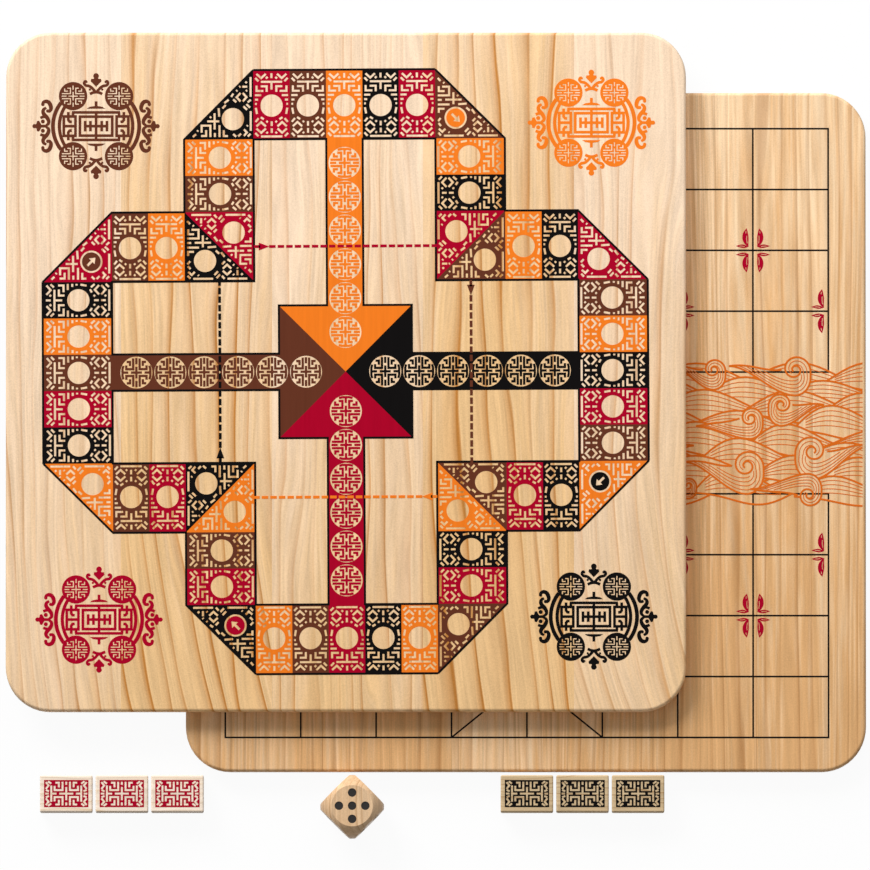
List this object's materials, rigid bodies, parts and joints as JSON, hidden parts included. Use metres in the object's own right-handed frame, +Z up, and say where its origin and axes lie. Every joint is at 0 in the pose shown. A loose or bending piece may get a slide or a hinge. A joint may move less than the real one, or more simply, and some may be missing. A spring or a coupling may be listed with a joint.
{
  "type": "two-board game set",
  "caption": "Wooden board game set: two square round-cornered boards, one lying fanned out on the other, with small printed block tiles and a rounded wooden die beside them.",
  "frame": {"origin": "centre of the river board's underside, where it lies on the table", "axes": "+Z up from the table, +Y up the printed boards as a player reads them, +X to their right"},
  "size_m": [0.4426, 0.4152, 0.025],
  "materials": {
    "river_board_pine": "lacquered pine with a printed grid, satin",
    "race_board_pine": "lacquered pine with a printed race track, satin",
    "tile_wood": "sanded hardwood blocks, matt",
    "die_wood": "turned and polished beech, satin",
    "pip_paint": "black paint in drilled pips",
    "ink_black": "screen-printed black ink, satin",
    "ink_red": "screen-printed crimson ink, satin",
    "ink_brown": "screen-printed brown ink, satin",
    "ink_orange": "screen-printed orange ink, satin",
    "ink_amber": "screen-printed deep amber ink, satin"
  },
  "bodies": {
    "river_board": {"river_board": "river_board_pine"},
    "race_board": {"race_board": "race_board_pine"},
    "red_tile_1": {"red_tile_1": "tile_wood"},
    "red_tile_2": {"red_tile_2": "tile_wood"},
    "red_tile_3": {"red_tile_3": "tile_wood"},
    "black_tile_1": {"black_tile_1": "tile_wood"},
    "black_tile_2": {"black_tile_2": "tile_wood"},
    "black_tile_3": {"black_tile_3": "tile_wood"},
    "die": {"die": "die_wood", "die_pips": "pip_paint"}
  },
  "joints": [
    {"name": "race_board_lift", "type": "slide", "parent": "river_board", "child": "race_board", "axis": [0, 0, 1], "range_m": [0, 0.12]},
    {"name": "red_tile_1_lift", "type": "slide", "parent": "river_board", "child": "red_tile_1", "axis": [0, 0, 1], "range_m": [0, 0.06]},
    {"name": "red_tile_2_lift", "type": "slide", "parent": "river_board", "child": "red_tile_2", "axis": [0, 0, 1], "range_m": [0, 0.06]},
    {"name": "red_tile_3_lift", "type": "slide", "parent": "river_board", "child": "red_tile_3", "axis": [0, 0, 1], "range_m": [0, 0.06]},
    {"name": "black_tile_1_lift", "type": "slide", "parent": "river_board", "child": "black_tile_1", "axis": [0, 0, 1], "range_m": [0, 0.06]},
    {"name": "black_tile_2_lift", "type": "slide", "parent": "river_board", "child": "black_tile_2", "axis": [0, 0, 1], "range_m": [0, 0.06]},
    {"name": "black_tile_3_lift", "type": "slide", "parent": "river_board", "child": "black_tile_3", "axis": [0, 0, 1], "range_m": [0, 0.06]},
    {"name": "die_lift", "type": "slide", "parent": "river_board", "child": "die", "axis": [0, 0, 1], "range_m": [0, 0.08]}
  ]
}
